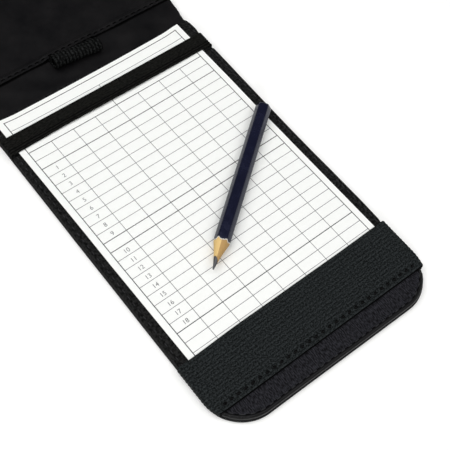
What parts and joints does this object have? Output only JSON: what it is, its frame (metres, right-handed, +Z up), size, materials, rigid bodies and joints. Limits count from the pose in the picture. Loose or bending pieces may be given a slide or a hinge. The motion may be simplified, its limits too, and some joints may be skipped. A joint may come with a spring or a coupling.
{
  "type": "score card holder",
  "caption": "Flat flip-cover holder for a golf score card, with elastic bands that grip the card, a soft folding spine, an elastic pencil loop and a short hexagonal pencil.",
  "frame": {"origin": "on the table under the middle of the spine, with the holder opened flat", "axes": "+X across the holder to the right as the card is read, +Y along it towards the cover, +Z up from the table"},
  "size_m": [0.1124, 0.372, 0.0111],
  "materials": {
    "skin": "smooth black polyurethane leathercloth, satin",
    "lining": "black woven nylon lining",
    "elastic": "black ribbed woven elastic",
    "thread": "black sewing thread",
    "foam": "thin closed-cell foam",
    "board": "grey pressed board",
    "card": "white printed card",
    "pencil_wood": "bare sharpened wood",
    "graphite": "graphite lead, dull sheen",
    "lacquer": "navy blue pencil lacquer"
  },
  "bodies": {
    "back": {"back_skin": "skin", "back_padding": "foam", "back_board": "board", "back_lining": "lining", "back_edge_stitches": "thread", "wide_band": "elastic", "wide_band_stitches": "thread", "narrow_band": "elastic"},
    "spine": {"spine_skin": "skin", "spine_lining": "lining", "cover_hem": "lining", "hem_stitches": "thread", "pencil_loop": "elastic"},
    "cover": {"cover_skin": "skin", "cover_padding": "foam", "cover_board": "board", "cover_lining": "lining", "cover_edge_stitches": "thread"},
    "card": {"score_card": "card"},
    "pencil": {"pencil_casing": "pencil_wood", "pencil_lead": "graphite", "pencil_lacquer": "lacquer"}
  },
  "joints": [
    {"name": "spine_fold", "type": "hinge", "parent": "back", "child": "spine", "pos_m": [0, -0.009, 0.0032], "axis": [1, 0, 0], "range_deg": [-90, 90]},
    {"name": "cover_fold", "type": "hinge", "parent": "spine", "child": "cover", "pos_m": [0, 0.009, 0.0032], "axis": [1, 0, 0], "range_deg": [-90, 90]},
    {"name": "card_slide", "type": "slide", "parent": "back", "child": "card", "axis": [0, 1, 0], "range_m": [-0.008, 0.001]},
    {"name": "pencil_slide", "type": "slide", "parent": "card", "child": "pencil", "axis": [0.8039, 0.5948, 0], "range_m": [0, 0.1]}
  ]
}
